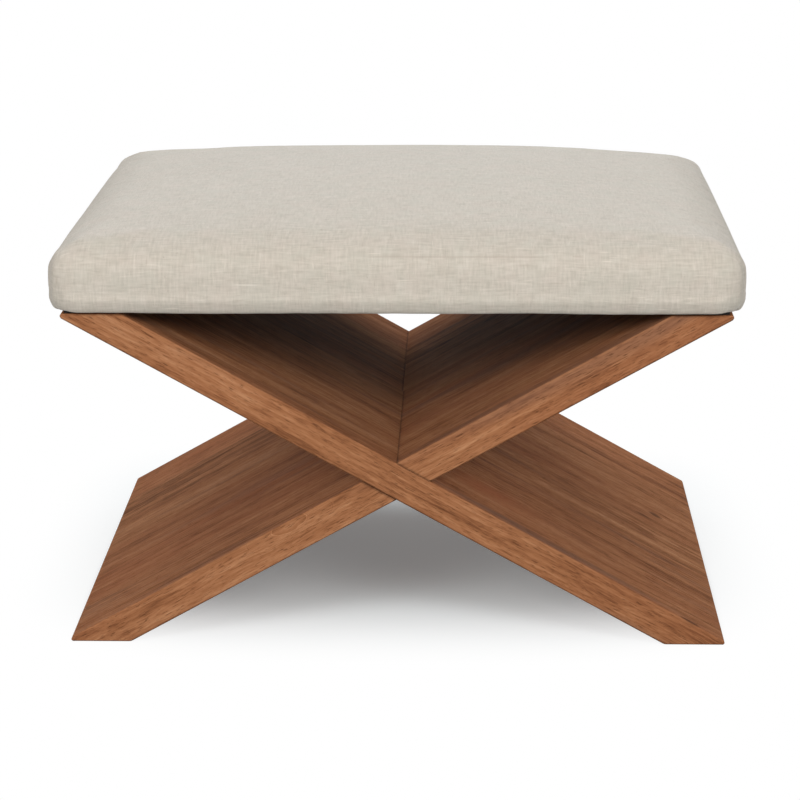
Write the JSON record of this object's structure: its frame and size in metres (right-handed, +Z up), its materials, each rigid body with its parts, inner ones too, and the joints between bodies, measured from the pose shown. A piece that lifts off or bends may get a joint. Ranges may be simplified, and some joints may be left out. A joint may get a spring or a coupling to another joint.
{
  "type": "x frame stool",
  "caption": "Low stool on two slanted hardwood slabs that cross through each other, with an upholstered linen seat.",
  "frame": {"origin": "on the floor under the middle of the stool", "axes": "+X to the right along the width, +Y from front to back, +Z up"},
  "size_m": [0.713, 0.61, 0.457],
  "materials": {
    "slab_wood": "oiled hardwood boards, satin, eased arrises",
    "black_steel": "matt black painted steel strip",
    "zinc_steel": "zinc plated steel fasteners",
    "plywood": "birch plywood, sanded",
    "seat_foam": "open cell upholstery foam",
    "batting": "soft polyester batting",
    "linen": "natural slubbed linen, plain weave",
    "black_cloth": "thin black nonwoven dust cloth"
  },
  "bodies": {
    "root": {"slab_a_board_1": "slab_wood", "slab_a_board_2": "slab_wood", "slab_a_board_3": "slab_wood", "slab_a_board_4_foot": "slab_wood", "slab_a_board_4_top": "slab_wood", "slab_b_board_4": "slab_wood", "slab_a_board_5_foot": "slab_wood", "slab_a_board_5_top": "slab_wood", "slab_b_board_5": "slab_wood", "slab_a_board_6_foot": "slab_wood", "slab_a_board_6_top": "slab_wood", "slab_b_board_6": "slab_wood", "slab_b_board_1_foot": "slab_wood", "slab_b_board_1_top": "slab_wood", "slab_b_board_2_foot": "slab_wood", "slab_b_board_2_top": "slab_wood", "slab_b_board_3_foot": "slab_wood", "slab_b_board_3_top": "slab_wood", "mounting_strip_left": "black_steel", "mounting_strip_right": "black_steel", "seat_bolts": "zinc_steel", "bolt_washers": "zinc_steel", "threaded_inserts": "zinc_steel", "seat_deck": "plywood", "foam_core": "seat_foam", "batting_wrap": "batting", "linen_cover": "linen", "dust_cover": "black_cloth"}
  },
  "joints": []
}
